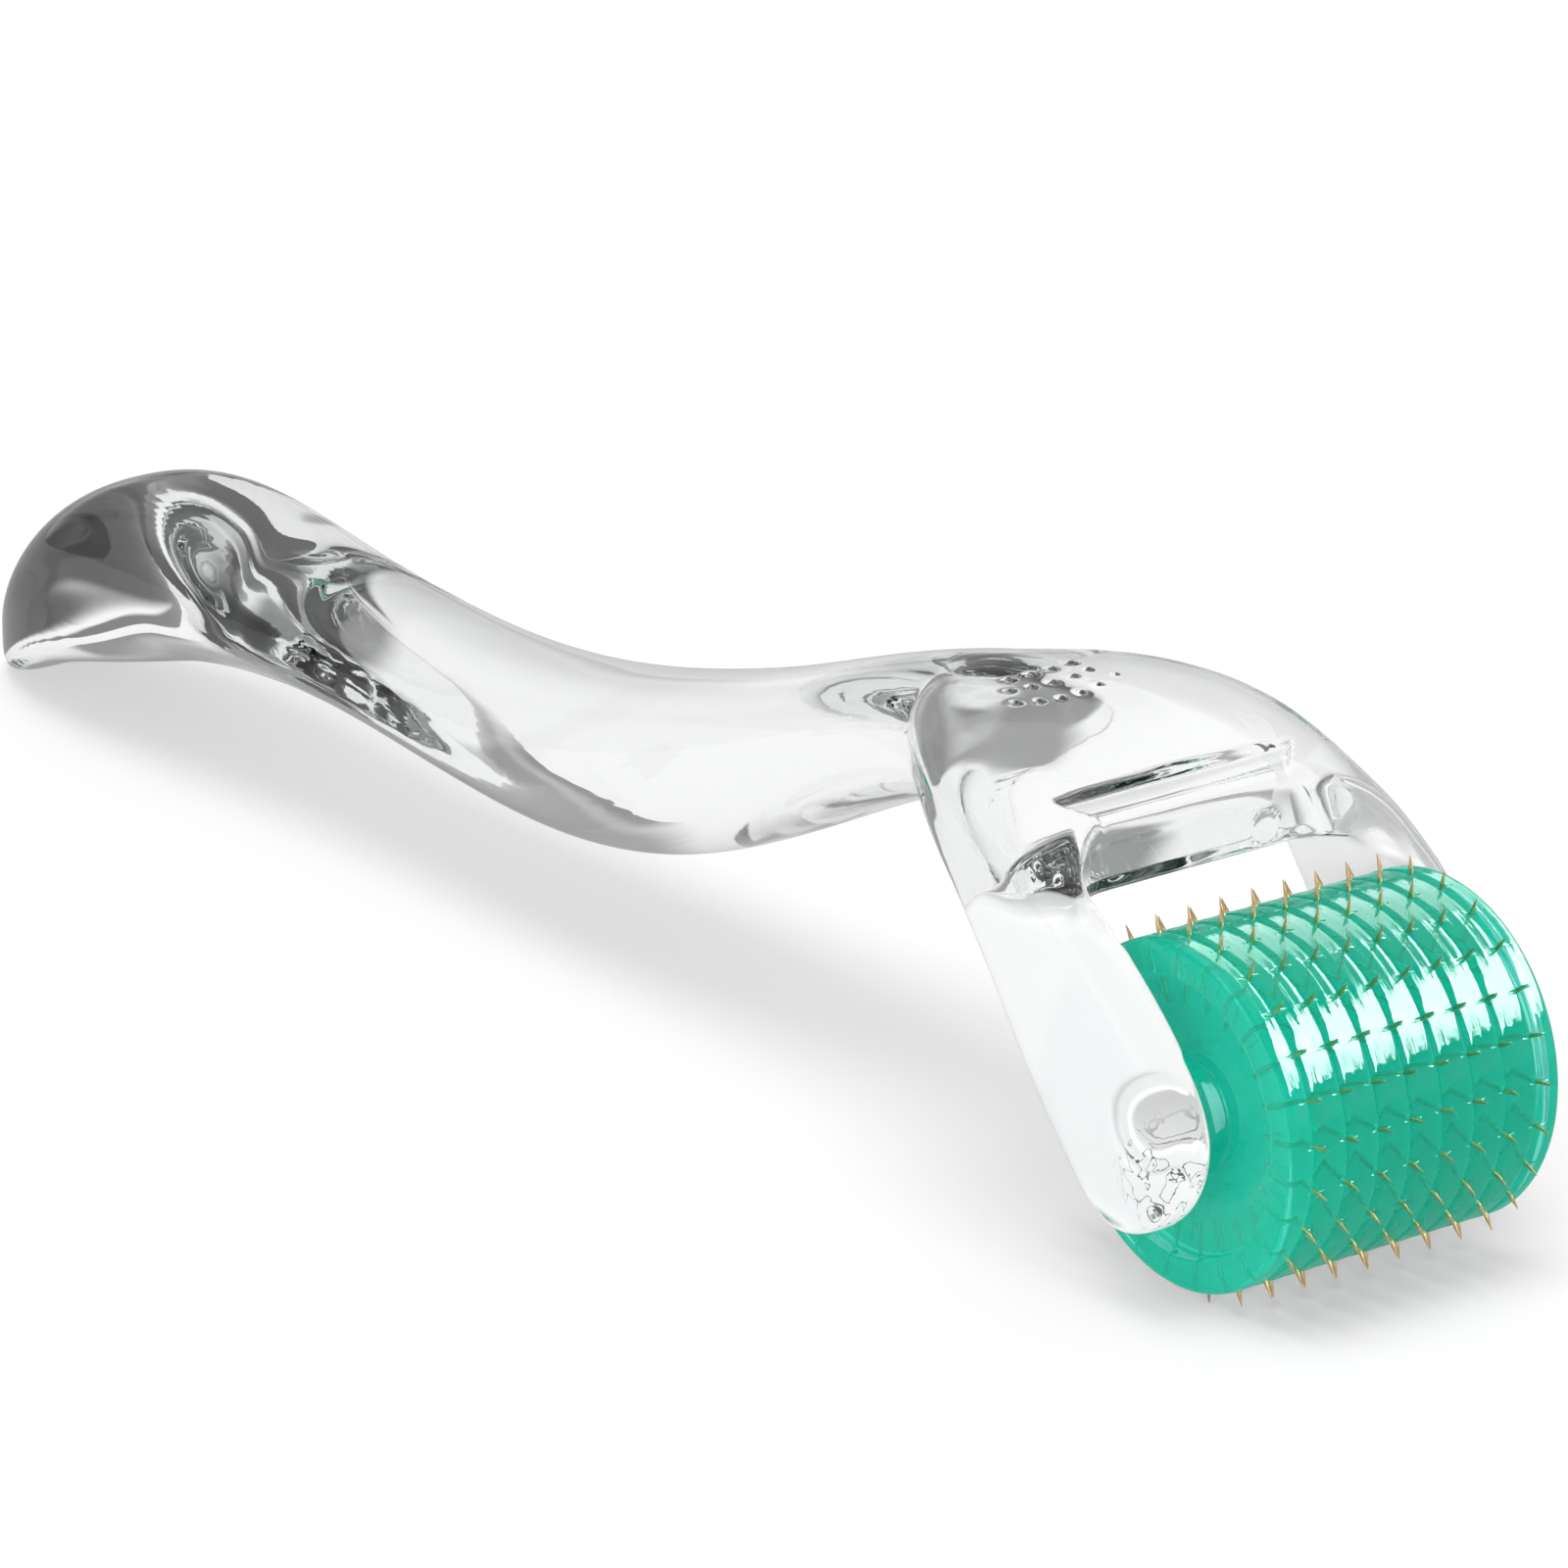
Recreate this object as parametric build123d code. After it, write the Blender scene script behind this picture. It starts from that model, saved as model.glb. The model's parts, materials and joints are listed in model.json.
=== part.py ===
from build123d import *
import os
from math import copysign, cos, pi, sin

# Hand-held needle roller: a long clear handle whose two front arms carry a
# drum of stacked discs, with rings of needles clamped in the disc joints.
# +X points from the tail to the roller end, +Y runs along the roller axle and
# +Z is up.  The part stands on z = 0 on its needle tips and the heel of its
# tail.  Everything is modelled with the axle at the origin and moved to AXLE
# when it is saved.  Lengths are in millimetres, angles in degrees.

os.makedirs("parts", exist_ok=True)

AXLE_X = 59.18            # roller axle, from the middle of the whole length
AXLE_Z = 10.94            # roller axle height above the table
AXLE = Location((AXLE_X, 0, AXLE_Z))

# ---- drum
DRUM_R = 10.0
DRUM_HALF = 9.60          # half width of the drum over its two end caps
SEAM_GAP = 0.012          # half gap at every disc joint
EDGE_CH_Y = 0.26          # chamfer of each disc rim, along the axle
EDGE_CH_R = 0.20          # and in radius

# ---- needles
NEEDLE_TIP_R = DRUM_R + 1.0
NEEDLE_ROOT_R = 6.2       # inner end of the clamped shank
NEEDLE_SHANK_R = 0.13
NEEDLE_POINT_R = 0.03     # radius just short of the tip
NEEDLE_POINT_LEN = 0.04
NEEDLE_END_R = 0.008      # flat at the very tip
NEEDLE_TAPER = 0.72       # length of the tapered point
ROWS = 8                  # needle rings along the drum
PER_ROW = 24              # needles in each ring
ROW_PITCH = 2.2614        # spacing of the needle rings
ROW_PHASE = 6.03          # angle of the first needle above +X

NOTCH_R = NEEDLE_SHANK_R + 0.025   # half-round needle notch in a disc face
NOTCH_START_R = NEEDLE_ROOT_R - 0.15
NOTCH_LEN = 6.0           # runs out past the rim

SEAMS = [(k - (ROWS - 1) / 2) * ROW_PITCH for k in range(ROWS)]   # y of each ring
NEEDLE_ANGLES = [ROW_PHASE + 360 / PER_ROW * k for k in range(PER_ROW)]

# ---- core spool that carries the discs
HUB_R = 4.0
HUB_BORE_R = 2.75
KEY_W = 1.2               # four keys stop the discs turning on the spool
KEY_H = 0.6
BORE_CLEAR = 0.04         # between spool and disc bore
SPOOL_HALF = SEAMS[-1] - 0.03

# ---- pivots, moulded on the inside of each arm
ARM_IN = 10.50            # inner face of each arm, from the middle
STUB_R = 1.50
STUB_END = 6.90           # inner end of the stub, from the middle
STUB_CH = 0.4             # chamfer of that end
BOSS_R = 2.60             # thrust boss round each stub
BOSS_END = DRUM_HALF + 0.15
PIVOT_SINK = 0.8          # depth of stub and boss in the arm

# ---- end caps
SLEEVE_R = HUB_BORE_R - 0.05   # bearing sleeve, inside the spool
SLEEVE_END = 6.40         # inner end of the sleeve, from the middle
BEARING_R = STUB_R + 0.06
RECESS_RO = 8.05          # annular recess in the outer face
RECESS_RI = 3.30
RECESS_D = 0.95


# ---------------------------------------------------------------- helpers
def cyl_y(radius, y0, y1, x=0.0, z=0.0):
    """Cylinder along Y from y0 to y1, centred on (x, z)."""
    plane = Plane(origin=(x, y0, z), x_dir=(1, 0, 0), z_dir=(0, 1, 0))
    return extrude(plane * Circle(radius), amount=y1 - y0)


def box(x0, x1, y0, y1, z0, z1):
    """Box between two limits on each axis."""
    centre = Pos((x0 + x1) / 2, (y0 + y1) / 2, (z0 + z1) / 2)
    return centre * Box(x1 - x0, y1 - y0, z1 - z0)


def revolve_profile(plane, points, axis):
    """Solid of revolution of a closed outline drawn on a plane."""
    return revolve(make_face(plane * Polyline(points, close=True)), axis, 360)


def revolve_y(points):
    """Solid of revolution about the Y axis from (radius, y) points."""
    return revolve_profile(Plane.XY, points, Axis.Y)


def save(name, shape):
    """Move a piece to the axle and write its STEP file."""
    solids = (AXLE * shape).solids()
    out = solids[0] if len(solids) == 1 else Compound(children=list(solids))
    export_step(out, f"parts/{name}.step")


# ---------------------------------------------------------------- clear handle
# Cross sections from the tail to the arm ends, measured from the axle:
# top x, top z, bottom x, bottom z, half width, fullness of the rounding
# (2 is an ellipse, larger values are squarer).
SECTIONS = [
    (-129.30, -10.00, -129.30, -10.70, 0.80, 2.2),
    (-128.95, -8.60, -128.95, -11.05, 1.90, 2.2),
    (-128.00, -6.60, -128.00, -11.20, 3.20, 2.3),
    (-126.40, -3.90, -126.40, -11.00, 4.40, 2.3),
    (-124.00, -1.00, -124.00, -10.10, 5.60, 2.3),
    (-121.00, 1.80, -121.00, -8.90, 6.55, 2.3),
    (-116.50, 4.45, -116.50, -7.40, 7.25, 2.3),
    (-111.00, 5.75, -111.00, -6.05, 7.50, 2.3),
    (-104.00, 5.50, -104.00, -4.40, 7.25, 2.3),
    (-96.00, 4.60, -96.00, -3.25, 6.60, 2.3),
    (-88.00, 4.10, -88.00, -3.10, 6.20, 2.3),
    (-80.00, 4.05, -80.00, -3.75, 6.15, 2.3),
    (-72.00, 4.65, -72.00, -4.45, 6.35, 2.3),
    (-64.00, 5.97, -64.00, -4.50, 6.60, 2.3),
    (-56.00, 7.95, -56.00, -3.20, 6.70, 2.3),
    (-48.00, 10.40, -48.00, -0.25, 6.75, 2.3),
    (-40.50, 13.10, -39.50, 3.90, 6.80, 2.3),
    (-33.50, 15.40, -32.00, 7.40, 6.90, 2.3),
    (-28.00, 16.75, -26.50, 9.20, 7.40, 2.4),
    (-23.50, 17.30, -22.00, 9.40, 9.30, 2.6),
    (-19.00, 17.00, -19.00, 8.50, 11.20, 3.0),
    (-14.60, 15.80, -16.60, 7.20, 12.40, 3.4),
    (-10.60, 14.10, -14.80, 5.50, 13.00, 4.0),
    (-6.50, 12.30, -13.00, 3.20, 13.15, 4.6),
    (-2.80, 9.95, -11.20, 0.60, 13.15, 5.0),
    (0.70, 7.15, -9.35, -2.10, 13.10, 5.0),
    (3.75, 3.85, -7.15, -4.70, 13.05, 5.0),
    (6.00, 0.00, -4.00, -7.80, 13.00, 5.0),
    (7.60, -3.20, -1.00, -10.00, 12.95, 5.0),
]
SECTION_POINTS = 32

TIP_X, TIP_Z, TIP_R = -1.55, -0.15, 6.20   # round end of each arm
ARM_MID_X, ARM_MID_Z = -4.35, 2.5          # a point further up the arm's centre line

WINDOW_X = -9.75          # rear wall of the roller window
WINDOW_CORNER = 4.2       # plan radius of its two rear corners
THROAT_Z = 9.40           # underside of the hood over the roller
THROAT_X = -16.2          # rear wall of the throat below the hood
THROAT_R = 3.0            # fillet between that wall and the hood

# Raised thumb dots on top of the hood: x, y of each.
GRIP_DOTS = [
    (-23.3, -2.9), (-23.1, -1.4), (-23.1, 0.1), (-23.3, 1.6),
    (-22.0, -3.9), (-21.6, -2.6), (-21.4, -1.2), (-21.5, 0.35), (-21.9, 1.7),
    (-20.5, -4.6), (-19.9, -3.4), (-19.5, -2.1), (-19.5, -0.7), (-19.9, 0.8), (-20.6, 2.6),
]
GRIP_DOT_R = 0.34
# Half outline of a dot: radius, height above the hood.
GRIP_DOT_PROFILE = [
    (0, -0.8), (GRIP_DOT_R, -0.8), (GRIP_DOT_R, 0.06), (GRIP_DOT_R - 0.12, 0.20), (0, 0.24),
]

# Reach of the cutters that run right out of the handle.
CUT_Y = 20
CUT_X = 40
CUT_Z = 30


def section_wire(top_x, top_z, bottom_x, bottom_z, half_width, fullness):
    """Closed superellipse spline through one handle section."""
    points = []
    for k in range(SECTION_POINTS):
        angle = 2 * pi * k / SECTION_POINTS
        c, s = cos(angle), sin(angle)
        across = copysign(abs(c) ** (2 / fullness), c)
        up = copysign(abs(s) ** (2 / fullness), s)
        points.append(Vector(
            (top_x + bottom_x) / 2 + (top_x - bottom_x) / 2 * up,
            half_width * across,
            (top_z + bottom_z) / 2 + (top_z - bottom_z) / 2 * up,
        ))
    return Wire([Edge.make_spline(points, periodic=True)])


def arm_end_cutter():
    """All beyond the line through the tip centre, square to the arm, but a disc there."""
    arm = Vector(ARM_MID_X - TIP_X, 0, ARM_MID_Z - TIP_Z).normalized()
    # Local y of this plane points up the arm, so the cutter lies at negative y.
    plane = Plane(origin=(TIP_X, -CUT_Y, TIP_Z), x_dir=(-arm.Z, 0, arm.X), z_dir=(0, 1, 0))
    length = 30
    beyond = extrude(plane * (Pos(0, -length / 2) * Rectangle(50, length)), amount=2 * CUT_Y)
    return beyond - cyl_y(TIP_R, -CUT_Y, CUT_Y, TIP_X, TIP_Z)


def roller_cutters():
    """Window through the hood, throat below the hood, and the gap between the arms."""
    outline = RectangleRounded(CUT_X, 2 * ARM_IN, WINDOW_CORNER)
    window = extrude(Plane.XY.offset(THROAT_Z) * (Pos(WINDOW_X + CUT_X / 2, 0) * outline),
                     amount=20)
    throat = box(THROAT_X, CUT_X, -ARM_IN, ARM_IN, -CUT_Z, THROAT_Z)
    across = throat.edges().filter_by(Axis.Y)
    rear_top = across.sort_by(lambda e: e.center().X - e.center().Z)[0]
    throat = fillet(rear_top, THROAT_R)
    front = box(WINDOW_X + 10, CUT_X, -ARM_IN, ARM_IN, -CUT_Z, CUT_Z)
    return window, throat, front


def pivot():
    """Stub with a chamfered nose, and its thrust boss, for the +Y arm."""
    nose_y = STUB_END + STUB_CH
    boss = cyl_y(BOSS_R, BOSS_END, ARM_IN + PIVOT_SINK)
    stub = cyl_y(STUB_R, nose_y, ARM_IN + PIVOT_SINK)
    nose = revolve_y([(0, STUB_END), (STUB_R - STUB_CH, STUB_END), (STUB_R, nose_y), (0, nose_y)])
    return boss + stub + nose


def clear_handle():
    loft = Solid.make_loft([section_wire(*row) for row in SECTIONS], ruled=False)
    handle = loft - arm_end_cutter()

    # Flat heel under the tail, which the handle stands on.
    handle = handle - box(-140, -110, -15, 15, -20, -AXLE_Z)

    window, throat, front = roller_cutters()
    handle = handle - window - throat - front

    handle = handle + mirror(pivot(), Plane.XZ)
    handle = handle + pivot()

    # A thin post through the uncut loft finds the hood's height at each dot.
    dot = revolve_profile(Plane.XZ, GRIP_DOT_PROFILE, Axis.Z)
    for x, y in GRIP_DOTS:
        post = Pos(x, y, 24) * Box(0.02, 0.02, 20)
        z_top = (post & loft).bounding_box().max.Z
        handle = handle + Pos(x, y, z_top) * dot
    return handle


# ---------------------------------------------------------------- needles
def ring_of(shape, y):
    """Copies of a shape, modelled along +X, at every needle angle."""
    return [Pos(0, y, 0) * Rot(0, -angle, 0) * shape for angle in NEEDLE_ANGLES]


def make_needle():
    return revolve_profile(Plane.XY, [
        (NEEDLE_ROOT_R, 0),
        (NEEDLE_ROOT_R, NEEDLE_SHANK_R),
        (NEEDLE_TIP_R - NEEDLE_TAPER, NEEDLE_SHANK_R),
        (NEEDLE_TIP_R - NEEDLE_POINT_LEN, NEEDLE_POINT_R),
        (NEEDLE_TIP_R, NEEDLE_END_R),
        (NEEDLE_TIP_R, 0),
    ], Axis.X)


def needle_row(needle, y):
    return Compound(children=[copy.solids()[0] for copy in ring_of(needle, y)])


def notch_ring(y):
    """Cutters for the needle notches at one seam."""
    plane = Plane(origin=(NOTCH_START_R, 0, 0), x_dir=(0, 1, 0), z_dir=(1, 0, 0))
    return ring_of(extrude(plane * Circle(NOTCH_R), amount=NOTCH_LEN), y)


# ---------------------------------------------------------------- drum
def keyed_hub(y0, y1, extra=0.0):
    """Hub cylinder with its four keys, grown by extra all round."""
    hub = cyl_y(HUB_R + extra, y0, y1)
    reach = HUB_R + KEY_H + extra
    key_half = KEY_W / 2 + extra
    for angle in (0, 90):
        hub += Rot(0, angle, 0) * box(-reach, reach, y0, y1, -key_half, key_half)
    return hub


def ring_disc(seam0, seam1):
    """Disc between two neighbouring seams."""
    y0, y1 = seam0 + SEAM_GAP, seam1 - SEAM_GAP
    disc = revolve_y([
        (0, y0), (DRUM_R - EDGE_CH_R, y0), (DRUM_R, y0 + EDGE_CH_Y),
        (DRUM_R, y1 - EDGE_CH_Y), (DRUM_R - EDGE_CH_R, y1), (0, y1),
    ])
    disc = disc - keyed_hub(y0 - 1, y1 + 1, BORE_CLEAR)
    return disc.cut(*notch_ring(seam0), *notch_ring(seam1))


def end_cap():
    """Cap on the +Y end: bearing sleeve, rim and the outer recess."""
    y0 = SEAMS[-1] + SEAM_GAP
    floor = DRUM_HALF - RECESS_D
    cap = revolve_y([
        # sleeve
        (BEARING_R, SLEEVE_END), (SLEEVE_R, SLEEVE_END), (SLEEVE_R, y0),
        # rim
        (DRUM_R - EDGE_CH_R, y0), (DRUM_R, y0 + EDGE_CH_Y),
        (DRUM_R, DRUM_HALF - 0.55), (DRUM_R - 0.16, DRUM_HALF - 0.18), (DRUM_R - 0.5, DRUM_HALF),
        # recess
        (RECESS_RO + 0.25, DRUM_HALF), (RECESS_RO, DRUM_HALF - 0.2),
        (RECESS_RO - 0.25, floor), (RECESS_RI + 0.2, floor),
        # lip round the bearing bore
        (RECESS_RI, DRUM_HALF - 0.1), (RECESS_RI - 0.1, DRUM_HALF), (BEARING_R, DRUM_HALF),
    ])
    return cap.cut(*notch_ring(SEAMS[-1]))


def core_spool():
    spool = keyed_hub(-SPOOL_HALF, SPOOL_HALF)
    return spool - cyl_y(HUB_BORE_R, -SPOOL_HALF - 1, SPOOL_HALF + 1)


# ---------------------------------------------------------------- files
save("clear_handle", clear_handle())

needle = make_needle()
for number, y in enumerate(SEAMS, start=1):
    save(f"needle_row_{number}", needle_row(needle, y))

for number, (seam0, seam1) in enumerate(zip(SEAMS, SEAMS[1:]), start=1):
    save(f"ring_disc_{number}", ring_disc(seam0, seam1))

save("end_cap_right", end_cap())
save("end_cap_left", mirror(end_cap(), Plane.XZ))
save("core_spool", core_spool())
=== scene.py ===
# A needle roller: a clear handle with a forked hood, and a green drum set with gold needles.
# The handle runs along X with its tail at -X, the axle lies along Y, and Z is up.
# Shapes are drawn in mm about the axle; materials, stage and lights are in metres.
import json
import math
import bpy
import bmesh
import numpy as np
from mathutils import Matrix, Vector

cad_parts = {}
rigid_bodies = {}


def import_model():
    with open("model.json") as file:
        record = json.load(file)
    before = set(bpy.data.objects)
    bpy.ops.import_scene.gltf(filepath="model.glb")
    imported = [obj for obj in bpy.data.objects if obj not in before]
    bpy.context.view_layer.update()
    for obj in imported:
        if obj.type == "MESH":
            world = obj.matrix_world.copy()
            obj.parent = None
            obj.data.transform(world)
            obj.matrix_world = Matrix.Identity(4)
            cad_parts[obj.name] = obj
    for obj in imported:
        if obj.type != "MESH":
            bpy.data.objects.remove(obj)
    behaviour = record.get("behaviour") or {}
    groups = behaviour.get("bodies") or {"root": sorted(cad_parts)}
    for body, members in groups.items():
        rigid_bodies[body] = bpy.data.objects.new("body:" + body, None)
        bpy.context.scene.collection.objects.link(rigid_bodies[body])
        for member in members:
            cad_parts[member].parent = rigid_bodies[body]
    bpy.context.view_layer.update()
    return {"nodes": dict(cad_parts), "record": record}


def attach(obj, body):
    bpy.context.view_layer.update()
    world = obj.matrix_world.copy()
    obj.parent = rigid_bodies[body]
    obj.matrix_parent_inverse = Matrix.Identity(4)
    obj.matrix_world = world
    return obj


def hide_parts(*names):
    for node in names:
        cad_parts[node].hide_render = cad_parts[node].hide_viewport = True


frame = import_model()
spin = next(j for j in frame["record"]["behaviour"]["joints"] if j["name"] == "roller_spin")
AXLE_X, _, AXLE_Z = [1000 * v for v in spin["pos_m"]]
scene = bpy.context.scene

# ------------------------------------------------------------------ sizes shared by parts (mm)
ARM_IN = 10.5                     # inner face of each arm, from the middle
ROWS, PITCH = 8, 2.2614           # needle rows and their spacing along the axle
PER_ROW, PHASE = 24, 6.03         # needles in a row, and the first one's angle in degrees

# Thumb studs on the hood: x, y
STUDS = [
    (-23.3, -2.9), (-23.1, -1.4), (-23.1, 0.1), (-23.3, 1.6), (-22.0, -3.9),
    (-21.6, -2.6), (-21.4, -1.2), (-21.5, 0.35), (-21.9, 1.7), (-20.5, -4.6),
    (-19.9, -3.4), (-19.5, -2.1), (-19.5, -0.7), (-19.9, 0.8), (-20.6, 2.6)]


# ------------------------------------------------------------------ field and mesh tools
def smooth_min(a, b, blend):
    h = np.maximum(blend - np.abs(a - b), 0) / blend
    return np.minimum(a, b) - h * h * blend * 0.25


def smooth_max(a, b, blend):
    return -smooth_min(-a, -b, blend)


def rounded_corner(a, b, radius):
    """Intersection of two half-spaces a < 0 and b < 0 with a rounded corner."""
    a = a + radius
    b = b + radius
    outside = np.hypot(np.maximum(a, 0), np.maximum(b, 0))
    return outside + np.minimum(np.maximum(a, b), 0) - radius


def spline(knots, values):
    """Natural cubic spline through the knots; returns an evaluator."""
    n = len(knots)
    h = np.diff(knots)
    system = np.zeros((n, n))
    right = np.zeros(n)
    system[0, 0] = system[-1, -1] = 1
    for i in range(1, n - 1):
        system[i, i - 1:i + 2] = h[i - 1], 2 * (h[i - 1] + h[i]), h[i]
        slope_after = (values[i + 1] - values[i]) / h[i]
        slope_before = (values[i] - values[i - 1]) / h[i - 1]
        right[i] = 6 * (slope_after - slope_before)
    bend = np.linalg.solve(system, right)

    def evaluate(x):
        i = np.clip(np.searchsorted(knots, x) - 1, 0, n - 2)
        a = (knots[i + 1] - x) / h[i]
        b = (x - knots[i]) / h[i]
        curve = ((a ** 3 - a) * bend[i] + (b ** 3 - b) * bend[i + 1]) * h[i] ** 2 / 6
        return a * values[i] + b * values[i + 1] + curve
    return evaluate


def surface_nets(field):
    """Quad mesh, in grid steps, of the zero level of a field that is negative inside."""
    nx, ny, nz = field.shape
    inside = field < 0
    count = np.zeros((nx - 1, ny - 1, nz - 1), np.int8)
    corners = [(i, j, k) for i in (0, 1) for j in (0, 1) for k in (0, 1)]
    for i, j, k in corners:
        count += inside[i:nx - 1 + i, j:ny - 1 + j, k:nz - 1 + k]
    active = (count > 0) & (count < 8)
    I, J, K = np.nonzero(active)
    index = np.full(active.shape, -1, np.int64)
    index[I, J, K] = np.arange(len(I))
    # each vertex is the mean of the crossings on its cell's edges
    total = np.zeros((len(I), 3))
    crossings = np.zeros(len(I))
    for start in corners:
        for axis in range(3):
            if start[axis]:
                continue
            end = list(start)
            end[axis] = 1
            f0 = field[I + start[0], J + start[1], K + start[2]]
            f1 = field[I + end[0], J + end[1], K + end[2]]
            crossed = (f0 < 0) != (f1 < 0)
            point = np.tile(np.array(start, float), (len(I), 1))
            point[:, axis] += np.where(crossed, f0 / np.where(crossed, f0 - f1, 1), 0)
            total += point * crossed[:, None]
            crossings += crossed
    verts = np.stack([I, J, K], 1) + total / crossings[:, None]
    # one quad round every grid edge that crosses the surface
    faces = []
    for axis in range(3):
        u, v = [(1, 2), (2, 0), (0, 1)][axis]
        low = [slice(None)] * 3
        high = [slice(None)] * 3
        low[axis] = slice(0, -1)
        high[axis] = slice(1, None)
        first, second = inside[tuple(low)], inside[tuple(high)]
        edges = np.stack(np.nonzero(first != second), 1)
        within = (edges[:, u] > 0) & (edges[:, u] < field.shape[u] - 1)
        within &= (edges[:, v] > 0) & (edges[:, v] < field.shape[v] - 1)
        edges = edges[within]
        outward = first[tuple(edges.T)]
        quads = []
        for du, dv in ((-1, -1), (0, -1), (0, 0), (-1, 0)):
            cell = edges.copy()
            cell[:, u] += du
            cell[:, v] += dv
            quads.append(index[tuple(cell.T)])
        quads = np.stack(quads, 1)
        quads[~outward] = quads[~outward][:, ::-1]
        faces.append(quads)
    return verts, np.concatenate(faces)


def relax(verts, faces, steps, shrink=0.5, grow=-0.53):
    """Taubin smoothing of a quad mesh."""
    edges = np.concatenate([faces[:, [i, (i + 1) % 4]] for i in range(4)])
    a = np.concatenate([edges[:, 0], edges[:, 1]])
    b = np.concatenate([edges[:, 1], edges[:, 0]])
    n = len(verts)
    degree = np.bincount(a, minlength=n)[:, None]
    for _ in range(steps):
        for weight in (shrink, grow):
            sums = [np.bincount(a, weights=verts[b, i], minlength=n) for i in range(3)]
            verts = verts + weight * (np.stack(sums, 1) / degree - verts)
    return verts


def mesh_object(name, verts, faces, material, body):
    """Smooth-shaded object that rides a body; verts in mm about the axle."""
    mesh = bpy.data.meshes.new(name)
    verts = (verts + np.array([AXLE_X, 0, AXLE_Z])) / 1000
    mesh.vertices.add(len(verts))
    mesh.vertices.foreach_set("co", verts.ravel().astype(np.float32))
    mesh.loops.add(faces.size)
    mesh.loops.foreach_set("vertex_index", faces.ravel().astype(np.int32))
    mesh.polygons.add(len(faces))
    starts = (np.arange(len(faces)) * faces.shape[1]).astype(np.int32)
    mesh.polygons.foreach_set("loop_start", starts)
    mesh.update(calc_edges=True)
    mesh.validate()
    mesh.polygons.foreach_set("use_smooth", [True] * len(mesh.polygons))
    mesh.materials.append(material)
    ob = bpy.data.objects.new(name, mesh)
    scene.collection.objects.link(ob)
    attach(ob, body)
    return ob


# ------------------------------------------------------------------ shader tools
class ShaderTree:
    """Fills a material's or world's node tree.

    An input takes a value, a socket, or a node, which stands for its first output."""

    def __init__(self, owner):
        owner.use_nodes = True
        self.tree = owner.node_tree
        self.tree.nodes.clear()

    def add(self, kind, inputs=None, **settings):
        node = self.tree.nodes.new("ShaderNode" + kind)
        for setting, value in settings.items():
            setattr(node, setting, value)
        for socket, value in (inputs or {}).items():
            if isinstance(value, bpy.types.Node):
                value = value.outputs[0]
            if isinstance(value, bpy.types.NodeSocket):
                self.tree.links.new(value, node.inputs[socket])
            else:
                node.inputs[socket].default_value = value
        return node

    def math(self, operation, *values):
        return self.add("Math", dict(enumerate(values)), operation=operation)

    def invert(self, value):
        return self.math("SUBTRACT", 1.0, value)

    def length(self, a, b):
        squares = self.math("MULTIPLY", a, a), self.math("MULTIPLY", b, b)
        return self.math("SQRT", self.math("ADD", *squares))

    def fade_in(self, value, start, end):
        limits = {"Value": value, "From Min": start, "From Max": end}
        return self.add("MapRange", limits, interpolation_type="SMOOTHSTEP")

    def fade_out(self, value, start, end):
        return self.invert(self.fade_in(value, start, end))

    def mix_shader(self, factor, a, b):
        return self.add("MixShader", {0: factor, 1: a, 2: b})

    def mix_color(self, factor, a, b):
        # a Mix node's colours are inputs 6 and 7, and output 2
        return self.add("Mix", {0: factor, 6: a, 7: b}, data_type="RGBA").outputs[2]

    def object_coords(self):
        return self.add("TexCoord").outputs["Object"]

    def axes(self, coords):
        return self.add("SeparateXYZ", {0: coords}).outputs

    def rays(self):
        return self.add("LightPath").outputs

    def shadow_or_diffuse(self):
        rays = self.rays()
        return self.math("MAXIMUM", rays["Is Shadow Ray"], rays["Is Diffuse Ray"])

    def soft_shadow(self, surface, tint):
        """Lets shadow and diffuse rays through, tinted, so the shadow stays light."""
        passing = self.add("BsdfTransparent", {0: tint})
        return self.mix_shader(self.shadow_or_diffuse(), surface, passing)


def new_material(name):
    material = bpy.data.materials.new(name)
    return material, ShaderTree(material)


# ------------------------------------------------------------------ clear plastic
PALE = (0.97, 0.975, 0.975, 1)
# painted refraction: dark colour of the squiggles round the moulding gate
PAINTED_REFRACTION_COLOR = (0.08, 0.08, 0.08, 1)
FROST = 0.94                      # share of frosting over the glass
# painted glow: emission strength on the pivot stubs, which sit in shade
STUB_PAINTED_GLOW = 0.16

# Fades, as start and end, in metres
STUD_FADE = (0.00036, 0.00008)    # distance from a stud's centre
FROST_Y_START = (0.0095, 0.0097)
FROST_Y_END = (ARM_IN / 1000 + 0.00015, ARM_IN / 1000 + 0.0004)
FROST_TOP = (0.0085, 0.0110)      # above the axle
STUB_RADIUS_FADE = (0.0017, 0.0019)
STUB_Y_FADE = (0.0098, 0.0100)
SQUIGGLE_AREA_FADE = (0.0016, 0.0036)
SQUIGGLE_FADE = (0.006, 0.026)        # distance of the noise from its middle value, no unit


def stud_bump(shader, coords, ripple):
    """Crisp outlines for the thumb studs, on top of the ripple normal."""
    plan = shader.add("VectorMath", {0: coords, 1: (1, 1, 0)}, operation="MULTIPLY")
    nearest = None
    for x, y in STUDS:
        centre = ((AXLE_X + x) / 1000, y / 1000, 0)
        node = shader.add("VectorMath", {0: plan, 1: centre}, operation="DISTANCE")
        distance = node.outputs["Value"]
        if nearest is None:
            nearest = distance
        else:
            nearest = shader.math("MINIMUM", nearest, distance)
    # only the hood's top is high enough to carry studs
    above = shader.add("MapRange", {
        "Value": shader.axes(coords)["Z"], "From Min": 0.0254, "From Max": 0.0260})
    height = shader.math("MULTIPLY", shader.fade_in(nearest, *STUD_FADE), above)
    return shader.add("Bump", {
        "Strength": 1.0, "Distance": 0.00010, "Height": height, "Normal": ripple})


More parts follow.
